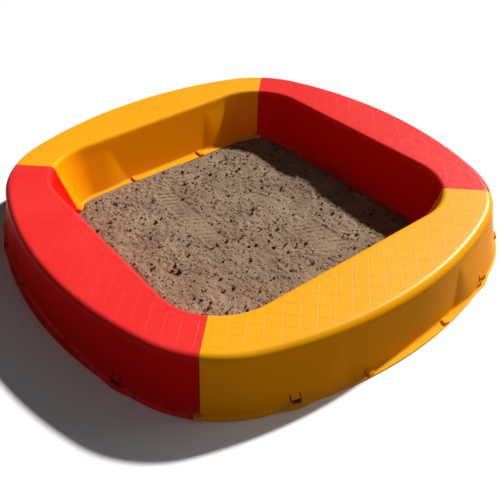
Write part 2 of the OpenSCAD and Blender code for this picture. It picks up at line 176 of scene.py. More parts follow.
# Crumb colours far darker than the sand: partly dark crumbs, partly painted shade of their unlit sides.
CRUMB_DARKEST, CRUMB_MAIN, CRUMB_PALE = (0.06, 0.038, 0.025), (0.10, 0.064, 0.043), (0.16, 0.105, 0.070)
# Dark sand colour for dark grains, and for dark specks that are partly painted shadows of crumbs and pits.
SAND_DARK_AND_SHADOW, SAND_LIGHT = (0.06, 0.036, 0.024), (0.50, 0.40, 0.30)
FLOOR_SEEN, FLOOR_BOUNCE = (0.97, 0.97, 0.97), (0.28, 0.28, 0.28)
DUST_ROUGHNESS = (0.85, 0.85, 0.85)
SHINE_FROM, SHINE_FULL = 2.2, 0.8

# Angles in degrees past which an edge is shaded sharp
PIECE_ANGLE, TILE_ANGLE, SAND_ANGLE, CLOD_ANGLE = 40, 3, 180, 60

# Light and camera, in metres and degrees, with the eye in millimetres
FLOOR_RADIUS, COVE_RADIUS, FLOOR_DROP = 40.0, 12.0, 0.0005
FILL = 0.035
LAMPS = {
    "key": (5.1, 3.0, (1.31, 0.14, 1.0)),
    "side": (1.0, 40.0, (1.0, -0.3, 0.2)),
    "soft": (0.32, 70.0, (0.5, -0.8, 0.35)),
}
CAMERA_LENS = 51.316
CAMERA_SHIFT = (0.09654, -0.2)
CAMERA_EYE = (-1193.5, -1561.9, 1444.6)
CAMERA_BACK = (-0.4809, -0.71447, 0.5082)
CAMERA_UP = (0.32495, 0.39311, 0.86016)

SIDES = {
    "front": (180, "yellow_plastic"),
    "left": (90, "red_plastic"),
    "back": (0, "yellow_plastic"),
    "right": (-90, "red_plastic"),
}
JOINTS = {"front_left": 180, "left_back": 90, "back_right": 0, "right_front": -90}


def smooth(share):
    """Goes from 0 to 1 with level ends, as 3t^2 - 2t^3 of the share held between 0 and 1."""
    t = np.clip(share, 0, 1)
    return t * t * (3 - 2 * t)


def turned(points, degrees):
    """Turns points about the Z axis through the middle of the sandbox."""
    a = np.radians(degrees)
    turn = np.array([[np.cos(a), -np.sin(a), 0], [np.sin(a), np.cos(a), 0], [0, 0, 1]])
    return points @ turn.T


def weld(mesh):
    """Merges the points that lie on each other, which closes poles and caps."""
    work = bmesh.new()
    work.from_mesh(mesh)
    bmesh.ops.remove_doubles(work, verts=work.verts, dist=1e-6)
    bmesh.ops.dissolve_degenerate(work, edges=work.edges, dist=1e-7)
    work.to_mesh(mesh)
    work.free()


def make_piece(name, shape, material, sharp=PIECE_ANGLE, poles=True, groove_shade=None):
    """Puts points in millimetres, four-cornered faces and any painted groove shade into a mesh object at the
    origin.
    """
    points, quads = shape
    mesh = bpy.data.meshes.new(name)
    mesh.vertices.add(len(points))
    mesh.vertices.foreach_set("co", (points * MM).astype(np.float32).ravel())
    mesh.loops.add(quads.size)
    mesh.loops.foreach_set("vertex_index", quads.astype(np.int32).ravel())
    mesh.polygons.add(len(quads))
    mesh.polygons.foreach_set("loop_start", np.arange(0, quads.size, quads.shape[1], dtype=np.int32))
    if groove_shade is not None:
        mesh.attributes.new("groove_shade", "FLOAT", "POINT").data.foreach_set("value", groove_shade.astype(np.float32))
    mesh.update(calc_edges=True)
    mesh.validate()
    if poles:
        weld(mesh)
    mesh.polygons.foreach_set("use_smooth", np.ones(len(mesh.polygons), bool))
    mesh.set_sharp_from_angle(angle=np.radians(sharp))
    mesh.materials.append(material)
    piece = place_in_scene(name, mesh)
    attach(piece, "root")
    return piece


def grid_quads(columns, rows, wrap_columns=False, wrap_rows=False):
    """Faces of a grid whose point (c, r) has the number c * rows + r, wound from row to column."""
    c = np.arange(columns if wrap_columns else columns - 1)
    r = np.arange(rows if wrap_rows else rows - 1)
    c, r = np.meshgrid(c, r, indexing="ij")
    c_next, r_next = (c + 1) % columns, (r + 1) % rows
    corners = [c * rows + r, c * rows + r_next, c_next * rows + r_next, c_next * rows + r]
    return np.stack(corners, axis=-1).reshape(-1, 4)


def outer_plan(p, e):
    """X and Y of the outer face e beyond the seat's edge, at place p along it.

    Up to SIDE_END the edge is an arc about (0, -BOW) and p is its X. Beyond, it is the corner's
    arc, and p grows with that arc's length. Sections near the middle are planes of equal X, and
    towards the ends they swing to the arc's normal.
    """
    q = np.abs(p)
    on_side = np.minimum(q, SIDE_END)
    swing = smooth((q - TURN_START) / (STRAIGHT_HALF - TURN_START))
    side_x = on_side * (1 + swing * e / SIDE_RADIUS)
    side_y = np.sqrt((SIDE_RADIUS + e) ** 2 - side_x ** 2) - BOW
    angle = TANGENT + np.maximum(q - SIDE_END, 0) / CORNER_RADIUS
    corner_x = CORNER_AT + (CORNER_RADIUS + e) * np.sin(angle)
    corner_y = CORNER_AT + (CORNER_RADIUS + e) * np.cos(angle)
    x = np.where(q > SIDE_END, corner_x, side_x)
    return np.sign(p) * x, np.where(q > SIDE_END, corner_y, side_y)


def inner_plan(p, e):
    """X and Y of the inner face e inside the seat's inner edge, at the place that faces p.

    The edge is straight with X equal to p up to STRAIGHT_HALF. Beyond, it advances in step with
    the outer edge, so that both reach the joint together, and its corner is an arc.
    """
    q = np.abs(p)
    step = (OPENING_END - STRAIGHT_HALF) / (WALL_END - STRAIGHT_HALF)
    along = np.minimum(q, STRAIGHT_HALF) + np.maximum(q - STRAIGHT_HALF, 0) * step
    angle = np.maximum(along - OPENING_CORNER_AT, 0) / OPENING_RADIUS
    x = np.minimum(along, OPENING_CORNER_AT) + (OPENING_RADIUS - e) * np.sin(angle)
    y = OPENING_CORNER_AT + (OPENING_RADIUS - e) * np.cos(angle)
    return np.sign(p) * x, y


def face_offset(p, z, lean, flare, panel):
    """How far a wall's face lies beyond the seat's edge at height z.

    The middle panel leans evenly. The ends lean more below FLARE_TOP. Between them lies a fan
    that is a point at FLARE_TOP and FAN_LENGTH long at the foot. It leaves the panel with a fold
    and eases into the end, as 1 - (1 - t)^2 of the share t of its length.
    """
    even = lean * (SEAT_HEIGHT - z) / SEAT_HEIGHT
    at_top = lean * (SEAT_HEIGHT - FLARE_TOP) / SEAT_HEIGHT
    share = np.clip(z / FLARE_TOP, 0, 1)
    flared = flare + (at_top - flare) * share
    past = np.abs(p) - panel[0] - (panel[1] - panel[0]) * share
    past = (past + np.sqrt(past ** 2 + FAN_FOLD ** 2)) / 2
    t = np.clip(past / (FAN_LENGTH * (1 - share) + FAN_TIP), 0, 1)
    return even + np.where(z < FLARE_TOP, (flared - even) * (1 - (1 - t) ** 2), 0)


def wall_columns():
    """Places along a wall's outer edge: even steps, with edges of hooks, slots and pockets among them."""
    even = np.linspace(0, WALL_END - END_ZONE, COLUMN_COUNT)
    narrow = np.cos(HOOK_ANGLE)
    window = HOOK_HALF + HOOK_SLIT
    hook = HOOK_AT + narrow * np.array([-window, -HOOK_HALF, HOOK_HALF, window])
    ear = HOOK_AT + narrow * np.array([-HOOK_EAR / 2, -HOOK_SLIT, HOOK_SLIT, HOOK_EAR / 2])
    slot = BRACE_AT + (BRACE_HALF + SLOT_CLEAR) * np.array([-1, 1])
    pocket = (CLIP_HALF + CLIP_CLEAR) * CORNER_RADIUS / (CORNER_RADIUS + OUTER_FLARE)
    end = WALL_END - np.array([pocket, *END_STEPS])
    fixed = np.concatenate([hook, ear, slot])
    clear = np.abs(even[:, None] - fixed[None, :]).min(axis=1) > COLUMN_CLEAR
    half = np.sort(np.concatenate([even[clear], fixed, end]))
    return np.concatenate([-half[:0:-1], half]), hook, slot


def outer_reach(p):
    """Reach of the outer flange at place p, with a pointed ear that stands out under each cover hook."""
    away = np.abs(np.abs(p) - HOOK_AT) / np.cos(HOOK_ANGLE)
    return OUTER_REACH + HOOK_STEP * np.clip((HOOK_EAR / 2 - away) / (HOOK_EAR / 2 - HOOK_SLIT), 0, 1)


def half_section(p, lean, flare, panel, reach, foot_round, top_round, bulge):
    """Offsets and heights of one half of the wall's section for every column.

    From the ground up: a rounded flange lip, the flange, a hollow fillet at the foot, the wall's
    face, and the round that carries it into the seat. The fillet of radius R stands out of the face
    by R - sqrt(R^2 - (R - h)^2) at a height h above the flange, and R is less on a narrow flange.
    A hook's tongue stands out by a bell curve of the height above the mouth.
    """
    p, reach = p[:, None], reach[:, None]
    lip = np.radians([0.0, 45.0, 90.0])[None, :]
    lip_e = reach - LIP_ROUND + LIP_ROUND * np.cos(lip)
    lip_z = FLANGE - LIP_ROUND + LIP_ROUND * np.sin(lip) + 0 * p
    foot = FLANGE + np.array(FOOT_STEPS)
    mouth_top = HOOK_SILL + HOOK_MOUTH
    low = np.sort([HOOK_SILL, SLOT_TOP, POCKET_TOP, mouth_top, *FACE_STEPS])
    high = np.linspace(mouth_top + HOOK_LENGTH, SEAT_TOP - top_round - 2, FACE_ROWS)
    levels = np.concatenate([foot, low, high])[None, :]
    room = reach - LIP_ROUND - face_offset(p, FLANGE, lean, flare, panel)
    fillet = np.clip(FILLET_SHARE * room, 1, foot_round)
    near = np.clip(1 - (levels - FLANGE) / fillet, 0, 1)
    face_e = face_offset(p, levels, lean, flare, panel) + fillet * (1 - np.sqrt(1 - near ** 2))
    on_tongue = np.abs(np.abs(p) - HOOK_AT) < HOOK_HALF + 0.5
    rise = levels - mouth_top
    curve = np.exp(-((rise - HOOK_BULGE_AT) / HOOK_BULGE_LENGTH) ** 2)
    face_e = face_e + bulge * on_tongue * (rise >= 0) * curve
    ledge = np.array([[0.33, 0.67]])
    ledge_e = (reach - LIP_ROUND) * (1 - ledge) + face_e[:, :1] * ledge
    tilt = np.arctan(lean / SEAT_HEIGHT)
    round_z = SEAT_TOP - top_round
    round_e = lean * (SEAT_HEIGHT - round_z) / SEAT_HEIGHT - top_round / np.cos(tilt)
    arc = np.linspace(tilt, np.pi / 2, ROUND_ROWS)[None, :]
    arc_e = round_e + top_round * np.cos(arc) + 0 * p
    arc_z = round_z + top_round * np.sin(arc) + 0 * p
    offsets = np.hstack([lip_e, ledge_e, face_e, arc_e])
    heights = np.hstack([lip_z, FLANGE + 0 * ledge_e, levels + 0 * p, arc_z])
    return offsets, heights, lip.shape[1] + ledge.shape[1]


def rounded_ends(offsets, heights, to_joint, first_bend):
    """Draws a section back into its wall near the joint, by a quarter round that starts END_ROUND away.

    The draw is along the section's own normal, in full on the wall and less on the seat.
    """
    run_e = np.gradient(offsets, axis=1)
    run_z = np.gradient(heights, axis=1)
    length = np.hypot(run_e, run_z)
    normal_e, normal_z = run_z / length, -run_e / length
    near = np.clip(END_ROUND - (to_joint - JOINT_GAP / 2), 0, END_ROUND)
    draw = END_ROUND - np.sqrt(END_ROUND ** 2 - near ** 2)
    share = 1 - (1 - SEAT_END_ROUND) * smooth(normal_z)
    share[:, :first_bend] = 0
    return offsets - draw * share * normal_e, heights - draw * share * normal_z


def joint_distance(x, y):
    """Distance of a point from the nearer of the two mitred joint planes."""
    return (y - np.abs(x)) / np.sqrt(2)


def clear_of_joint(x, y):
    """Moves points that lie in the joint's gap straight back from the joint plane."""
    back = np.maximum(JOINT_GAP / 2 - joint_distance(x, y), 0) / np.sqrt(2)
    return x - np.sign(x) * back, y + back


def shell(points, quads, thickness):
    """Closed skin of a surface: each point gets a twin behind it, and each open edge gets a strip.

    The twin lies one thickness back along the mean of the normals around the point. For a point
    of the flanges it lies straight below, on the ground.
    """
    a, b, c, d = (points[quads[:, i]] for i in range(4))
    normals = np.cross(c - a, d - b)
    mean = np.zeros_like(points)
    np.add.at(mean, quads.ravel(), np.repeat(normals, 4, axis=0))
    mean /= np.maximum(np.linalg.norm(mean, axis=1, keepdims=True), 1e-9)
    count = len(points)
    edges = np.concatenate([quads[:, [i, (i + 1) % 4]] for i in range(4)])
    key = np.sort(edges, axis=1) @ np.array([count, 1])
    _, first, uses = np.unique(key, return_index=True, return_counts=True)
    rim = edges[first[uses == 1]]
    strips = np.column_stack([rim[:, 1], rim[:, 0], rim[:, 0] + count, rim[:, 1] + count])
    back = points - thickness * mean
    back[:, 2] = np.maximum(back[:, 2], 0)
    on_flange = points[:, 2] < FLANGE + 0.01
    back[on_flange] = points[on_flange] * [1, 1, 0]
    return np.vstack([points, back]), np.vstack([quads, quads[:, ::-1] + count, strips])


def used_only(points, quads):
    """Drops the points that no face uses."""
    used, numbers = np.unique(quads, return_inverse=True)
    return points[used], numbers.reshape(quads.shape)


def wall_halves(p):
    """Outer and inner half of the section on every column, as grids of points, and the face's first row."""
    outer = (OUTER_LEAN, OUTER_FLARE, OUTER_PANEL, outer_reach(p), OUTER_FOOT, OUTER_ROUND, HOOK_BULGE)
    inner = (INNER_LEAN, INNER_FLARE, INNER_PANEL, INNER_REACH + 0 * p, INNER_FOOT, INNER_ROUND, 0.0)
    halves = []
    for plan, sizes in ((outer_plan, outer), (inner_plan, inner)):
        e, z, first_bend = half_section(p, *sizes)
        x, y = plan(p[:, None], e)
        e, z = rounded_ends(e, z, joint_distance(x, y), first_bend)
        x, y = clear_of_joint(*plan(p[:, None], e))
        halves.append(np.stack([x, y, z], axis=-1))
    return halves[0], halves[1], first_bend


def in_opening(skin, quads, columns, half_rows, first_bend):
    """Marks the faces that lie in a brace slot, in a clip's pocket, or in a hook's mouth and slits."""
    p, hook, slot = columns
    rows = skin.shape[1]
    column, row = quads[:, 0] // rows, quads[:, 0] % rows
    place = np.abs(p[column] + p[column + 1]) / 2
    x, y, z = skin.reshape(-1, 3)[quads].mean(axis=1).T
    on_outer = (row >= first_bend) & (row < half_rows)
    on_inner = (row >= rows - half_rows) & (row < rows - first_bend - 1)
    in_slot = (on_outer | on_inner) & (z < SLOT_TOP) & (place > slot[0]) & (place < slot[1])
    in_pocket = on_outer & (z < POCKET_TOP) & (joint_distance(x, y) < CLIP_HALF + CLIP_CLEAR)
    in_window = on_outer & (z > HOOK_SILL) & (place > hook[0]) & (place < hook[3])
    in_mouth = z < HOOK_SILL + HOOK_MOUTH
    beside = (place < hook[1]) | (place > hook[2])
    in_slit = beside & (z < HOOK_SILL + HOOK_MOUTH + HOOK_LENGTH)
    return in_slot | in_pocket | (in_window & (in_mouth | in_slit))


def joint_faces(points, base, rows, half_rows, first_bend, start):
    """Points and faces that close the end of a wall, whose section begins at the point with number base.

    On each row, the outer and the inner point are joined by two faces that meet on a pillar line,
    numbered from start. It runs from the middle of the seat to the clip's inside, eased by height.
    """
    last, middle = half_rows + 2, half_rows + len(SEAT_ACROSS) // 2
    k = np.arange(first_bend, last)
    out_side, in_side = base + k, base + rows - 1 - k
    o, i = points[out_side], points[in_side]
    to_middle = smooth((o[:, 2] - PILLAR_FOOT) / (SEAT_TOP - PILLAR_FOOT))
    clip_inside = (OUTER_DIAGONAL - WALL) / np.sqrt(2)
    pillar = np.abs(points[base + middle, 0]) * to_middle + clip_inside * (1 - to_middle)
    share = (np.abs(o[:, 0]) - pillar) / (np.abs(o[:, 0]) - np.abs(i[:, 0]))
    out_ring = np.append(out_side, base + last)
    mid_ring = np.append(start + np.arange(len(k)), base + middle)
    in_ring = np.append(in_side, base + rows - 1 - last)
    near = np.column_stack([out_ring[:-1], out_ring[1:], mid_ring[1:], mid_ring[:-1]])
    far = np.column_stack([mid_ring[:-1], mid_ring[1:], in_ring[1:], in_ring[:-1]])
    near = near[o[:, 2] > POCKET_TOP - 0.5]
    return o + (i - o) * share[:, None], np.vstack([near, far])


def wall_skin():
    """Outside surface of a wall: both halves of the section on every column, joined over the seat.

    The faces in openings are left out, and both ends get faces in their joint planes.
    """
    p, hook, slot = wall_columns()
    outer, inner, first_bend = wall_halves(p)
    across = np.array(SEAT_ACROSS)[None, :, None]
    seat = outer[:, -1:] * (1 - across) + inner[:, -1:] * across
    skin = np.concatenate([outer, seat, inner[:, ::-1]], axis=1)
    columns, rows = skin.shape[:2]
    half_rows = outer.shape[1]
    quads = grid_quads(columns, rows)
    quads = quads[~in_opening(skin, quads, (p, hook, slot), half_rows, first_bend)]
    points = skin.reshape(-1, 3)
    for base, flip in (((columns - 1) * rows, False), (0, True)):
        pillar, faces = joint_faces(points, base, rows, half_rows, first_bend, len(points))
        points = np.vstack([points, pillar])
        quads = np.vstack([quads, faces[:, ::-1] if flip else faces])
    return used_only(points, quads)


def rounded_block(half, radius):
    """Box with all edges rounded: a ball of the radius carried round the corners of a smaller box.

    The two parameters are the ball's longitude and latitude. Each quarter of the longitude and
    each half of the latitude stays on its own corner, and the last rows close on the two flats.
    """
    half = np.asarray(half, float)
    quarter = np.linspace(0, np.pi / 2, BLOCK_STEPS)
    longitude = np.concatenate([quarter + k * np.pi / 2 for k in range(4)])
    corner_x = np.repeat([1, -1, -1, 1], BLOCK_STEPS)
    corner_y = np.repeat([1, 1, -1, -1], BLOCK_STEPS)
    latitude = np.concatenate([quarter - np.pi / 2, quarter])
    corner_z = np.repeat([-1, 1], BLOCK_STEPS)
    core = half - radius
    x = corner_x[:, None] * core[0] + radius * np.cos(longitude)[:, None] * np.cos(latitude)
    y = corner_y[:, None] * core[1] + radius * np.sin(longitude)[:, None] * np.cos(latitude)
    z = corner_z * core[2] + radius * np.sin(latitude) + 0 * x
    body = np.stack([x, y, z], axis=-1)
    foot = np.zeros((len(longitude), 1, 3)) - [0, 0, half[2]]
    points = np.concatenate([foot, body, -foot], axis=1)
    quads = grid_quads(points.shape[0], points.shape[1], wrap_columns=True)[:, ::-1]
    return points.reshape(-1, 3), quads


def joined(parts):
    """Puts several lots of points and faces into one lot."""
    starts = np.cumsum([0] + [len(points) for points, _ in parts[:-1]])
    quads = [faces + start for (_, faces), start in zip(parts, starts)]
    return np.vstack([points for points, _ in parts]), np.vstack(quads)


def rounded_outline(half_x, half_y, radius, steps=5):
    """Outline of a rectangle with round corners, as an arc about each corner's centre in turn."""
    quarter = np.linspace(0, np.pi / 2, steps)
    angle = np.concatenate([quarter + k * np.pi / 2 for k in range(4)])
    centre_x = np.repeat([1, -1, -1, 1], steps) * (half_x - radius)
    centre_y = np.repeat([1, 1, -1, -1], steps) * (half_y - radius)
    return np.column_stack([centre_x + radius * np.cos(angle), centre_y + radius * np.sin(angle)])


def hook_rim():
    """U-shaped rim of a cover hook: a rounded bar carried down one side, along the sill and up the other."""
    side = HOOK_HALF + HOOK_SLIT + HOOK_RIM / 2
    foot = HOOK_SILL - HOOK_RIM / 2
    top = HOOK_SILL + HOOK_MOUTH
    arc = np.linspace(0, np.pi / 2, 6)
    left_x = -side + HOOK_BEND - HOOK_BEND * np.cos(arc)
    left_z = foot + HOOK_BEND - HOOK_BEND * np.sin(arc)
    path_x = np.concatenate([[-side], left_x, -left_x[::-1], [side]])
    path_z = np.concatenate([[top], left_z, left_z[::-1], [top]])
    away_x = np.concatenate([[-1], -np.cos(arc), np.cos(arc[::-1]), [1]])
    away_z = np.concatenate([[0], -np.sin(arc), -np.sin(arc[::-1]), [0]])
    depth = OUTER_FLARE + WALL - HOOK_RIM_DEPTH / 2
    bar = rounded_outline(HOOK_RIM / 2, HOOK_RIM_DEPTH / 2, HOOK_RIM_ROUND)
    x = path_x[:, None] + away_x[:, None] * bar[:, 0]
    z = path_z[:, None] + away_z[:, None] * bar[:, 0]
    y = depth + bar[:, 1] + 0 * x
    rings = np.stack([x, y, z], axis=-1)
    caps = rings[[0, -1]].mean(axis=1, keepdims=True) + 0 * rings[[0, -1]]
    points = np.concatenate([caps[:1], rings, caps[1:]])
    return points.reshape(-1, 3), grid_quads(points.shape[0], points.shape[1], wrap_rows=True)


def hook_pieces():
    """Rims of the two cover hooks of a wall, set on the side's arc and mirrored."""
    rim, quads = hook_rim()
    placed = turned(rim + [0, SIDE_RADIUS, 0], -np.degrees(HOOK_ANGLE)) - [0, BOW, 0]
    return joined([(placed, quads), (placed * [-1, 1, 1], quads[:, ::-1])])


def seat_ribs():
    """Ribs across the underside of the seat: thin rounded plates whose ends slant with the walls."""
    plates = []
    for number in range(RIB_COUNT):
        x = (number - (RIB_COUNT - 1) / 2) * RIB_PITCH
        low = OPENING_HALF + WALL + RIB_CLEAR_IN
        high = np.sqrt(SIDE_RADIUS ** 2 - x ** 2) - BOW - WALL - RIB_CLEAR_OUT
        plate, quads = rounded_block((RIB_WALL / 2, (high - low) / 2, RIB_DEPTH / 2), RIB_ROUND)
        drop = (RIB_DEPTH / 2 - plate[:, 2]) / SEAT_HEIGHT
        plate[:, 1] += np.where(plate[:, 1] > 0, OUTER_LEAN, -INNER_LEAN) * drop
        middle = [x, (low + high) / 2, SEAT_TOP - WALL + RIB_SUNK - RIB_DEPTH / 2]
        plates.append((plate + middle, quads))
    return joined(plates)


def brace_pieces(side):
    """A cross brace: a long tongue that shows on both flanges, and its body under the seat."""
    edge = BRACE_AT + BRACE_HALF
    outer_end = np.sqrt((SIDE_RADIUS + OUTER_REACH) ** 2 - edge ** 2) - BOW - 1
    inner_end = OPENING_HALF - INNER_REACH + 1
    base = FLANGE - FOOT_SUNK
    tongue_half = (BRACE_HALF, (outer_end - inner_end) / 2, TONGUE_HEIGHT / 2)
    tongue, tongue_quads = rounded_block(tongue_half, TONGUE_ROUND)
    tongue = tongue + [side * BRACE_AT, (outer_end + inner_end) / 2, base + TONGUE_HEIGHT / 2]
    low, high = OPENING_HALF - BRACE_INSIDE, HALF_WIDTH - BRACE_OUTSIDE
    body_high = (BRACE_HEIGHT - base) / 2
    body_half = (BRACE_HALF - 1, (high - low) / 2, body_high - 0.5)
    body, body_quads = rounded_block(body_half, BRACE_ROUND)
    body = body + [side * BRACE_AT, (high + low) / 2, base + body_high + 0.5]
    return joined([(tongue, tongue_quads), (body, body_quads)])


def outer_clip():
    """Clip with a peg hole, as a loop around the hole carried from the hole's rim to the outline and back."""
    start = OUTER_DIAGONAL
    slope = (OUTER_FLARE - OUTER_LEAN * (SEAT_HEIGHT - FLARE_TOP) / SEAT_HEIGHT) / FLARE_TOP
    peg_at = start + OUTER_FLARE - slope * (FLANGE + CLIP_HEIGHT) + PEG_RADIUS + PEG_CLEAR
    end = peg_at + PEG_RADIUS + PEG_RIM
    base = FLANGE - FOOT_SUNK
    outline = rounded_outline((end - start) / 2, CLIP_HALF, CLIP_ROUND, 9)
    outline = outline + [(start + end) / 2 - peg_at, 0]
    angle = np.arctan2(outline[:, 1], outline[:, 0])
    hole = PEG_RADIUS * np.column_stack([np.cos(angle), np.sin(angle)])
    radius = np.linalg.norm(outline, axis=1, keepdims=True)
    bevel_middle = outline * (1 - CLIP_BEVEL_MIDDLE / radius)
    bevel_top = outline * (1 - CLIP_BEVEL / radius)
    hole_wide = hole * (1 + PEG_BEVEL / PEG_RADIUS)
    levels = [
        (hole, 0),
        (outline, 0),
        (outline, CLIP_HEIGHT - CLIP_BEVEL),
        (bevel_middle, CLIP_HEIGHT - CLIP_BEVEL_MIDDLE),
        (bevel_top, CLIP_HEIGHT),
        (hole_wide, CLIP_HEIGHT),
        (hole, CLIP_HEIGHT - PEG_BEVEL),
    ]
    rings = np.stack([np.column_stack([ring, np.full(len(ring), base + z)]) for ring, z in levels], axis=1)
    points = rings.reshape(-1, 3) + [peg_at, 0, 0]
    return turned(points, 45), grid_quads(rings.shape[0], rings.shape[1], True, True)[:, ::-1]


def inner_clip():
    """Plain rounded block over the inner foot of a joint."""
    start = INNER_DIAGONAL - INNER_REACH + WALL
    length = INNER_REACH - INNER_FLARE - WALL
    points, quads = rounded_block((length / 2, CLIP_HALF, CLIP_HEIGHT / 2), INNER_CLIP_ROUND)
    middle = [start + length / 2, 0, FLANGE + INNER_CLIP_LIFT + CLIP_HEIGHT / 2]
    return turned(points + middle, 45), quads


def onto_seat(x, y):
    """Moves points past the margin of the seat's flat back to it, and gives how far inside they were.

    Outside, the margin runs along the side's arc about (0, -BOW) and the corner's arc. Inside, it
    runs along the opening's straight edge and its corner's arc. A point moves along their normals.
    """
    far = np.hypot(x, y + BOW) - SIDE_RADIUS
    corner = np.hypot(np.abs(x) - CORNER_AT, y - CORNER_AT) - CORNER_RADIUS
    on_corner = np.abs(x) > CORNER_AT + (y - CORNER_AT) * np.tan(TANGENT)
    past_out = np.where(on_corner, corner, far) + OUTER_ROUND + TILE_EDGE
    in_corner = (np.abs(x) > OPENING_CORNER_AT) & (y > OPENING_CORNER_AT)
    inside_arc = OPENING_RADIUS - np.hypot(np.abs(x) - OPENING_CORNER_AT, y - OPENING_CORNER_AT)
    past_in = np.where(in_corner, inside_arc, OPENING_HALF - y) + INNER_ROUND + TILE_EDGE
    out_x = np.where(on_corner, np.sign(x) * (np.abs(x) - CORNER_AT), x)
    out_y = np.where(on_corner, y - CORNER_AT, y + BOW)
    out_size = np.hypot(out_x, out_y)
    x = x - np.maximum(past_out, 0) * out_x / out_size
    y = y - np.maximum(past_out, 0) * out_y / out_size
    in_x = np.where(in_corner, np.sign(x) * (np.abs(x) - OPENING_CORNER_AT), 0)
    in_y = np.where(in_corner, y - OPENING_CORNER_AT, 1.0)
    in_size = np.maximum(np.hypot(in_x, in_y), 1e-6)
    x = x + np.maximum(past_in, 0) * in_x / in_size
    y = y + np.maximum(past_in, 0) * in_y / in_size
    return x, y, np.minimum(-past_out, -past_in)


def seat_tiles():
    """Low square tiles over the flat of the seat, in lines along both joints.

    A tile is a small grid that rises from its edge. Points past the seat's margin are moved
    to the margin and lie level with the seat, which trims the tiles there. The third result is
    the painted shade of the grooves at each point, which is 1 along the edges between tiles.
    """
    slope = 2 * TILE_SLOPE / TILE_SIZE
    flat = np.array([-1, slope - 1, -0.5, 0, 0.5, 1 - slope, 1]) * TILE_SIZE / 2
    count = int(HALF_WIDTH * 2 / TILE_PITCH)
    first = JOINT_GAP / 2 + TILE_MARGIN + TILE_SIZE / 2
    centres = first + TILE_PITCH * np.arange(count)
    a, b = np.meshgrid(centres, centres, indexing="ij")
    a = a.reshape(-1, 1, 1) + flat[None, :, None] + 0 * flat[None, None, :]
    b = b.reshape(-1, 1, 1) + flat[None, None, :] + 0 * flat[None, :, None]
    edge = TILE_SIZE / 2 - np.maximum(np.abs(flat)[:, None], np.abs(flat)[None, :])
    x, y, kept_off = onto_seat((a - b) / np.sqrt(2), (a + b) / np.sqrt(2))
    rise = smooth(np.minimum(edge[None], np.maximum(kept_off, 0)) / TILE_SLOPE)
    z = SEAT_TOP - TILE_SUNK + (TILE_HEIGHT + TILE_SUNK) * rise
    whole = kept_off > TILE_SLOPE
    shown = whole.mean(axis=(1, 2)) > TILE_LEAST
    points = np.stack([x, y, z], axis=-1)[shown]
    groove_shade = ((edge[None] < 0.01) & whole)[shown]
    side = len(flat)
    one = grid_quads(side, side)[:, ::-1]
    quads = one[None] + (np.arange(len(points)) * side * side)[:, None, None]
    return points.reshape(-1, 3), quads.reshape(-1, 4), groove_shade.ravel()


def noise_field(count, spacing, shortest, longest):
    """Random height field of unit spread, with waves between two lengths only."""
    white = np.fft.rfft2(RANDOM.standard_normal((count, count)))
    fx = np.fft.fftfreq(count, spacing)[:, None]
    fy = np.fft.rfftfreq(count, spacing)[None, :]
    wave = np.hypot(fx, fy)
    band = np.exp(-(wave * shortest) ** 2) * (1 - np.exp(-(wave * longest) ** 2))
    field = np.fft.irfft2(white * band, (count, count))
    return (field - field.mean()) / field.std()


def tread(x, y, middle, along, length, width, pitch):
    """Trodden strip: slanting steps of one pitch, inside a soft-edged rectangle about its middle."""
    direction = np.asarray(along, float) / np.hypot(*along)
    t = (x - middle[0]) * direction[0] + (y - middle[1]) * direction[1]
    n = -(x - middle[0]) * direction[1] + (y - middle[1]) * direction[0]
    inside = smooth((length / 2 - np.abs(t)) / TREAD_SOFT_END)
    inside = inside * smooth((width / 2 - np.abs(n)) / TREAD_SOFT_SIDE)
    share = (t - TREAD_SLANT * n) / pitch
    share = share - np.floor(share)
    step = np.minimum(share / TREAD_CLIMB, (1 - share) / (1 - TREAD_CLIMB))
    return inside * (2 * step - 1), inside


def treads(x, y):
    """Height of all the trodden bars, and how far a place is trodden."""
    strips = [tread(x, y, *strip) for strip in TREADS]
    return sum(bars for bars, _ in strips), sum(inside for _, inside in strips)


def sand_plan():
    """X and Y of the sand's grid, its angle and ring from 0 to 1, and how far the rim reaches on the flange.

    The grid is even in the middle, and its rim is drawn in to round corners. The rim wanders with
    sines of the angle, reaches farther near the corners and stays short about SHORT_AT.
    """
    half = OPENING_HALF - INNER_REACH
    corner = OPENING_RADIUS - INNER_REACH
    step = np.linspace(-1, 1, SAND_COUNT)
    a, b = np.meshgrid(step, step, indexing="ij")
    angle = np.arctan2(b, a)
    ring = np.maximum(np.abs(a), np.abs(b))
    c, s = np.abs(np.cos(angle)), np.abs(np.sin(angle))
    off_middle = half * np.minimum(c, s) / np.maximum(c, s)
    wander = RIM_REACH + RIM_CORNER_REACH * smooth((off_middle - RIM_CORNER_FROM) / RIM_CORNER_EASE)
    for size, waves, start in RIM_WAVES:
        wander = wander + size * np.sin(waves * angle + start)
    wander = wander - SHORT_BY * smooth((SHORT_HALF - np.abs(angle - SHORT_AT)) / SHORT_EASE)
    reach = half + np.clip(wander, *RIM_LIMITS)
    square = reach / np.maximum(c, s)
    centre = half - corner
    along = centre * (c + s)
    arc = along + np.sqrt(np.maximum(along ** 2 - 2 * centre ** 2 + (reach - centre) ** 2, 0))
    on_arc = (arc * c > centre) & (arc * s > centre)
    bound = np.where(on_arc, np.minimum(arc, square), square)
    scale = ring * square * (1 - (1 - bound / square) * ring ** 6)
    return scale * np.cos(angle), scale * np.sin(angle), angle, ring, wander


def bell(x, y, middle, radius):
    """Bell curve of the distance from a middle, 1 at the middle and 1/e at the radius."""
    return np.exp(-(np.hypot(x - middle[0], y - middle[1]) / radius) ** 2)


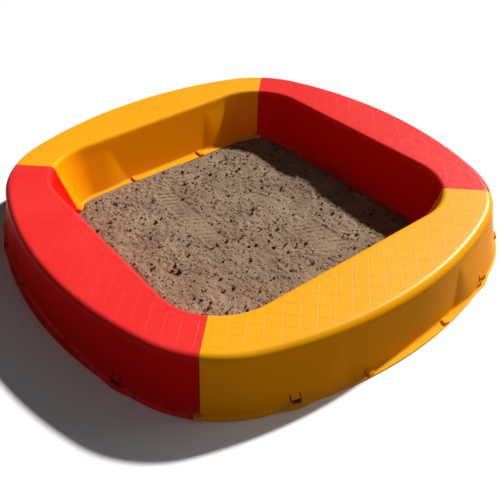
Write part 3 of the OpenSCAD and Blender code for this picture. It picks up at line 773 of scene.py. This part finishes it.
def sand_height(x, y, angle, ring, spacing):
    """Height of the sand: the mean depth with two crossing swells and a mound, and relief on top.

    Swells are sines, and the mound and one hollow are bell curves. On them lie ripples, crumbs,
    small pits, trodden strips and a hollow along the short stretch of the rim.
    """
    swell = np.sin(2 * np.pi * (x + 0.4 * y) / SWELL_LENGTH)
    swell = swell + np.sin(2 * np.pi * (0.5 * x - y) / (0.8 * SWELL_LENGTH))
    bed = SAND_DEPTH + SWELL_HEIGHT * swell / 2 + MOUND_HEIGHT * bell(x, y, MOUND_AT, MOUND_RADIUS)
    ripple = noise_field(SAND_COUNT, spacing, *RIPPLE_WAVES)
    crumb = noise_field(SAND_COUNT, spacing, *CRUMB_WAVES)
    pit = noise_field(SAND_COUNT, spacing, *PIT_WAVES)
    rough = smooth(noise_field(SAND_COUNT, spacing, *PATCH_WAVES) * 0.4 + 0.5)
    bars, trodden = treads(x, y)
    short = smooth((SHORT_DROP_HALF - np.abs(angle - SHORT_AT)) / SHORT_DROP_EASE)
    short = short * smooth((ring - SHORT_DROP_RING) / SHORT_DROP_EASE)
    bed = bed - SHORT_DROP * short + RIPPLE_HEIGHT * ripple * (1 - RIPPLE_TRODDEN * trodden)
    bed = bed + (CRUMB_HEIGHT[0] + CRUMB_HEIGHT[1] * rough) * crumb * (1 - CRUMB_TRODDEN * trodden)
    bed = bed - (PIT_DEPTH[0] + PIT_DEPTH[1] * rough) * np.maximum(pit - PIT_FROM, 0)
    bed = bed + (BAR_HEIGHT[0] + BAR_HEIGHT[1] * rough) * bars - TREAD_DEPTH * trodden
    return bed - HOLLOW_DEPTH * bell(x, y, HOLLOW_AT, HOLLOW_RADIUS)


def sand_field():
    """Points of the sand between the inner flanges, as grids of X, Y and Z.

    The rim lies on the flanges, or low where it stays short of them, and eases up into the bed.
    """
    half = OPENING_HALF - INNER_REACH
    x, y, angle, ring, wander = sand_plan()
    bed = sand_height(x, y, angle, ring, 2 * half / (SAND_COUNT - 1))
    rim = np.where(wander > 0, FLANGE + RIM_LIFT, RIM_LOW)
    inward = smooth((1 - ring) * half / RIM_SLOPE)
    return x, y, rim + (np.maximum(bed, FLANGE + 1) - rim) * inward


def sand_bed(x, y, z):
    """The sand field closed below: from its rim back under the flange's edge, down and across."""
    count = len(x)
    points = np.stack([x, y, z], axis=-1).reshape(-1, 3)
    quads = grid_quads(count, count)[:, ::-1]
    number = np.arange(count * count).reshape(count, count)
    rim = np.concatenate([number[:-1, 0], number[-1, :-1], number[:0:-1, -1], number[0, :0:-1]])
    inside = points[rim] * [0.97, 0.97, 1]
    ground = [0, 0, SAND_GROUND]
    skirt = np.stack([inside, inside * [1, 1, 0] + ground, 0 * inside + ground], axis=1)
    start = len(points)
    ids = np.column_stack([rim, start + np.arange(skirt.shape[0] * 3).reshape(-1, 3)])
    nxt = np.roll(ids, -1, axis=0)
    faces = [np.column_stack([ids[:, k], ids[:, k + 1], nxt[:, k + 1], nxt[:, k]]) for k in range(3)]
    return np.vstack([points, skirt.reshape(-1, 3)]), np.vstack([quads] + faces)


def sand_clods(x, y, z):
    """Loose crumbs on the sand: a ball of few faces, squashed, turned and dented, many times over."""
    longitude = np.arange(6) * np.pi / 3
    latitude = np.radians([-90, -32, 32, 90])
    ball = np.stack([
        np.cos(longitude)[:, None] * np.cos(latitude),
        np.sin(longitude)[:, None] * np.cos(latitude),
        np.sin(latitude) + 0 * longitude[:, None]], axis=-1)
    ball_quads = grid_quads(6, 4, wrap_columns=True)[:, ::-1]
    ball = ball.reshape(-1, 3)
    pick = RANDOM.integers(6, len(x) - 6, (CLOD_COUNT, 2))
    size = CLOD_SMALL * (1 - RANDOM.random(CLOD_COUNT)) ** -CLOD_SPREAD
    pick[0] = np.unravel_index(np.argmin(np.hypot(x - BIG_CLOD_AT[0], y - BIG_CLOD_AT[1])), x.shape)
    trodden = treads(x, y)[1][pick[:, 0], pick[:, 1]]
    size = np.minimum(size, CLOD_LARGE) * (1 - CLOD_TRODDEN * np.minimum(trodden, 1))
    size[0] = BIG_CLOD
    dent = 1 + CLOD_DENT * RANDOM.standard_normal((CLOD_COUNT, len(ball), 1))
    stretch = RANDOM.uniform(0.7, 1.3, (CLOD_COUNT, 1, 3)) * [1, 1, CLOD_HEIGHT]
    shape = ball[None] * dent * stretch * size[:, None, None]
    turn = RANDOM.uniform(0, 2 * np.pi, CLOD_COUNT)[:, None]
    cos, sin = np.cos(turn), np.sin(turn)
    place = np.stack([x, y, z], axis=-1)[pick[:, 0], pick[:, 1]]
    points = np.stack([
        shape[..., 0] * cos - shape[..., 1] * sin,
        shape[..., 0] * sin + shape[..., 1] * cos,
        shape[..., 2] + CLOD_LIFT * size[:, None]], axis=-1) + place[:, None]
    points[..., 2] = np.maximum(points[..., 2], SAND_GROUND)
    quads = ball_quads[None] + (np.arange(CLOD_COUNT) * len(ball))[:, None, None]
    return points.reshape(-1, 3), quads.reshape(-1, 4)


class Finish:
    """A new material with one shader, and makers of the nodes that feed it."""

    def __init__(self, name):
        self.material = bpy.data.materials.new(name)
        self.material.use_nodes = True
        self.nodes = self.material.node_tree.nodes
        self.link = self.material.node_tree.links.new
        self.nodes.clear()
        shader = self.node("ShaderNodeBsdfPrincipled")
        output = self.node("ShaderNodeOutputMaterial")
        self.link(shader.outputs["BSDF"], output.inputs["Surface"])
        self.inputs = shader.inputs
        self.place = self.node("ShaderNodeTexCoord").outputs["Object"]

    def node(self, kind, **settings):
        """A node of a kind, with its settings."""
        node = self.nodes.new(kind)
        for name, value in settings.items():
            setattr(node, name, value)
        return node

    def noise(self, scale, detail, stretch=None):
        """Noise on Object coordinates, in waves per metre, stretched along an axis where asked."""
        noise = self.node("ShaderNodeTexNoise")
        noise.inputs["Scale"].default_value = scale
        noise.inputs["Detail"].default_value = detail
        place = self.place
        if stretch:
            mapping = self.node("ShaderNodeMapping")
            mapping.inputs["Scale"].default_value = stretch
            self.link(place, mapping.inputs["Vector"])
            place = mapping.outputs["Vector"]
        self.link(place, noise.inputs["Vector"])
        return noise.outputs["Fac"]

    def height(self):
        """Height above the ground, in metres."""
        split = self.node("ShaderNodeSeparateXYZ")
        self.link(self.place, split.inputs["Vector"])
        return split.outputs["Z"]

    def ramp(self, value, stops):
        """Colours or greys at given shares of a value."""
        ramp = self.node("ShaderNodeValToRGB")
        elements = ramp.color_ramp.elements
        while len(elements) < len(stops):
            elements.new(0.5)
        for element, (share, colour) in zip(elements, stops):
            element.position = share
            element.color = (*colour, 1)
        self.link(value, ramp.inputs["Fac"])
        return ramp.outputs["Color"]

    def mix(self, share, first, second):
        """Mix of two colours by a share, each of them a socket or a fixed colour."""
        mix = self.node("ShaderNodeMix", data_type="RGBA")
        sockets = {socket.name: socket for socket in mix.inputs if socket.enabled}
        self.link(share, sockets["Factor"])
        for name, value in (("A", first), ("B", second)):
            if isinstance(value, bpy.types.NodeSocket):
                self.link(value, sockets[name])
            else:
                sockets[name].default_value = (*value, 1)
        return [socket for socket in mix.outputs if socket.enabled][0]

    def spread(self, value, low, high, to_low, to_high):
        """Maps a value from one range to another, held at both ends."""
        node = self.node("ShaderNodeMapRange")
        self.link(value, node.inputs["Value"])
        ends = {"From Min": low, "From Max": high, "To Min": to_low, "To Max": to_high}
        for name, number in ends.items():
            node.inputs[name].default_value = number
        return node.outputs["Result"]

    def maths(self, operation, first, second):
        """Product, or the greater, of two values."""
        node = self.node("ShaderNodeMath", operation=operation)
        self.link(first, node.inputs[0])
        self.link(second, node.inputs[1])
        return node.outputs[0]

    def bump(self, height, strength, distance):
        """Fine unevenness of the surface, with its depth in metres."""
        bump = self.node("ShaderNodeBump")
        bump.inputs["Strength"].default_value = strength
        bump.inputs["Distance"].default_value = distance
        self.link(height, bump.inputs["Height"])
        self.link(bump.outputs["Normal"], self.inputs["Normal"])


def moulded_plastic(name, seat, pale, wall):
    """Satin polyethylene: deep wall colours as painted shade, pale seat colours as painted light on the
    flange and the shinier seat, painted shade in the seat's grid, grain, low dust.
    """
    finish = Finish(name)
    height = finish.height()
    colour = finish.ramp(finish.noise(5.0, 3), [(0.42, seat), (0.72, pale)])
    # Painted light and shade: pale seat colours on the flange and the seat top, deep wall colours on the
    # walls between.
    level = finish.spread(height, 0.0, SEAT_HEIGHT * MM, 0.0, 1.0)
    colour = finish.mix(finish.ramp(level, PALE_WHERE_LIT), wall, colour)
    # Painted shade: the grooves between tiles are darkened towards a brown.
    groove_shade = finish.node("ShaderNodeAttribute", attribute_name="groove_shade").outputs["Fac"]
    colour = finish.mix(finish.spread(groove_shade, 0.0, 1.0, 0.0, PAINTED_GROOVE_SHARE), colour, PAINTED_GROOVE_SHADE)
    speck = finish.spread(finish.noise(420.0, 2), 0.68, 0.8, 0.0, 0.3)
    colour = finish.mix(speck, colour, wall)
    low = finish.spread(height, 0.002, 0.04, 1.0, 0.0)
    dust = finish.spread(finish.noise(38.0, 6), 0.42, 0.75, 0.0, DUST_SHARE)
    dust = finish.maths("MULTIPLY", dust, low)
    finish.link(finish.mix(dust, colour, DUST), finish.inputs["Base Color"])
    rough = finish.spread(finish.noise(60.0, 6, (1.0, 1.0, 0.35)), 0.3, 0.75, 0.35, 0.47)
    finish.link(finish.mix(dust, rough, DUST_ROUGHNESS), finish.inputs["Roughness"])
    finish.bump(finish.noise(650.0, 3), 0.12, 0.0006)
    dull_below, shiny_above = (SEAT_HEIGHT - SHINE_FROM) * MM, (SEAT_HEIGHT - SHINE_FULL) * MM
    shine = finish.spread(height, dull_below, shiny_above, 0.02, 0.38)
    finish.link(shine, finish.inputs["Specular IOR Level"])
    return finish.material


def play_sand(name, darkest_tone, main, pale):
    """Dry sand: pale and dark patches, single grains of several colours, dark specks that are partly painted
    shadows of crumbs and pits, and a grainy surface.
    """
    finish = Finish(name)
    colour = finish.ramp(finish.noise(9.0, 5), [(0.3, darkest_tone), (0.5, main), (0.7, pale)])
    grain = finish.noise(420.0, 3)
    colour = finish.mix(finish.spread(grain, 0.54, 0.72, 0.0, 0.45), colour, SAND_DARK_AND_SHADOW)
    # Dark specks: partly dark crumbs, partly painted shadows of crumbs and pits.
    speck_and_shadow = finish.spread(finish.noise(170.0, 2), 0.65, 0.71, 0.0, 0.85)
    colour = finish.mix(speck_and_shadow, colour, SAND_DARK_AND_SHADOW)
    light_speck = finish.spread(finish.noise(560.0, 2), 0.62, 0.76, 0.0, 0.5)
    colour = finish.mix(light_speck, colour, SAND_LIGHT)
    finish.link(colour, finish.inputs["Base Color"])
    finish.link(finish.spread(grain, 0.3, 0.7, 0.86, 0.98), finish.inputs["Roughness"])
    finish.inputs["Specular IOR Level"].default_value = 0.2
    finish.bump(finish.noise(300.0, 6), 0.7, 0.002)
    return finish.material


def pale_ground(name):
    """Plain floor: white to the camera and in reflections, and a quiet grey for the light it throws back."""
    finish = Finish(name)
    path = finish.node("ShaderNodeLightPath").outputs
    seen = finish.maths("MAXIMUM", path["Is Camera Ray"], path["Is Glossy Ray"])
    seen = finish.maths("MAXIMUM", seen, path["Is Transmission Ray"])
    finish.link(finish.mix(seen, FLOOR_BOUNCE, FLOOR_SEEN), finish.inputs["Base Color"])
    finish.inputs["Roughness"].default_value = 0.95
    finish.inputs["Specular IOR Level"].default_value = 0.0
    return finish.material


def place_in_scene(name, data):
    """A new object in the scene that holds a mesh, a lamp or a camera."""
    thing = bpy.data.objects.new(name, data)
    bpy.context.scene.collection.objects.link(thing)
    return thing


def studio_floor():
    """Round floor whose rim curves up, as a line and a quarter circle turned about the Z axis."""
    turn = np.linspace(0, 2 * np.pi, 97)[:-1]
    rise = np.linspace(0, np.pi / 2, 13)
    reach = np.concatenate([[0], FLOOR_RADIUS + COVE_RADIUS * np.sin(rise)])
    height = np.concatenate([[0], COVE_RADIUS * (1 - np.cos(rise))]) - FLOOR_DROP
    points = np.stack([
        np.cos(turn)[:, None] * reach,
        np.sin(turn)[:, None] * reach,
        height + 0 * turn[:, None]], axis=-1)
    mesh = bpy.data.meshes.new("floor")
    faces = grid_quads(len(turn), len(reach), wrap_columns=True)
    mesh.from_pydata(points.reshape(-1, 3).tolist(), [], faces[:, ::-1].tolist())
    weld(mesh)
    mesh.polygons.foreach_set("use_smooth", np.ones(len(mesh.polygons), bool))
    mesh.materials.append(pale_ground("pale_floor"))
    floor = place_in_scene("floor", mesh)


def studio_light():
    """Even fill from the world, a key lamp from the right, and two wide soft lamps."""
    world = bpy.data.worlds.new("studio")
    bpy.context.scene.world = world
    world.use_nodes = True
    back = world.node_tree.nodes["Background"]
    back.inputs["Color"].default_value = (1, 1, 1, 1)
    back.inputs["Strength"].default_value = FILL
    for name, (strength, width, towards) in LAMPS.items():
        lamp = bpy.data.lights.new(name, "SUN")
        lamp.energy = strength
        lamp.angle = np.radians(width)
        light = place_in_scene(name, lamp)
        light.rotation_euler = Vector(towards).to_track_quat("Z", "Y").to_euler()


def studio_camera():
    """Camera at the photograph's viewing angle, with axes squared up from its back and up directions."""
    data = bpy.data.cameras.new("camera")
    data.sensor_width = 36.0
    data.lens = CAMERA_LENS
    data.shift_x, data.shift_y = CAMERA_SHIFT
    back_axis = Vector(CAMERA_BACK).normalized()
    right_axis = Vector(CAMERA_UP).cross(back_axis).normalized()
    up_axis = back_axis.cross(right_axis)
    axes = Matrix((right_axis, up_axis, back_axis)).transposed()
    camera = place_in_scene("camera", data)
    camera.matrix_world = Matrix.Translation(Vector(CAMERA_EYE) * MM) @ axes.to_4x4()
    bpy.context.scene.camera = camera
    bpy.context.scene.view_settings.view_transform = "Standard"


def moved(shape, degrees):
    """A piece's points turned to their side of the sandbox, with the same faces."""
    return turned(shape[0], degrees), shape[1]


def sandbox():
    """Makes every piece of the sandbox in place of its solid."""
    plastic = {
        "red_plastic": moulded_plastic("red_plastic", RED_SEAT, RED_PALE, RED_WALL),
        "yellow_plastic": moulded_plastic("yellow_plastic", YELLOW_SEAT, YELLOW_PALE, YELLOW_WALL),
    }
    sand = play_sand("play_sand", SAND_DAMP, SAND_MAIN, SAND_PALE)
    # Crumbs darker than the sand: partly dark crumbs, partly painted shade of their unlit sides.
    crumbs = play_sand("sand_crumbs", CRUMB_DARKEST, CRUMB_MAIN, CRUMB_PALE)
    wall = shell(*wall_skin(), WALL)
    hooks, ribs = hook_pieces(), seat_ribs()
    *tiles, groove_shade = seat_tiles()
    for side, (degrees, slot) in SIDES.items():
        finish = plastic[slot]
        piece = make_piece(side + "_seat_wall", moved(wall, degrees), finish, poles=False)
        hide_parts(side + "_wall")
        make_piece(side + "_seat_tiles", moved(tiles, degrees), finish, TILE_ANGLE, groove_shade=groove_shade)
        make_piece(side + "_hook_rims", moved(hooks, degrees), finish)
        make_piece(side + "_seat_ribs", moved(ribs, degrees), finish)
        for end, mirror in (("left", 1), ("right", -1)):
            node = side + "_brace_" + end
            piece = make_piece(node + "_bar", moved(brace_pieces(mirror), degrees), finish)
            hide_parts(node)
    slot = "yellow_plastic"
    for joint, degrees in JOINTS.items():
        for node, shape in (("_clip", outer_clip()), ("_inner_clip", inner_clip())):
            piece = make_piece(joint + node + "_block", moved(shape, degrees), plastic[slot])
            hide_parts(joint + node)
    field = sand_field()
    piece = make_piece("sand_bed", sand_bed(*field), sand, SAND_ANGLE)
    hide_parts("sand_fill")
    make_piece("sand_clods", sand_clods(*field), crumbs, CLOD_ANGLE)


sandbox()
studio_floor()
studio_light()
studio_camera()
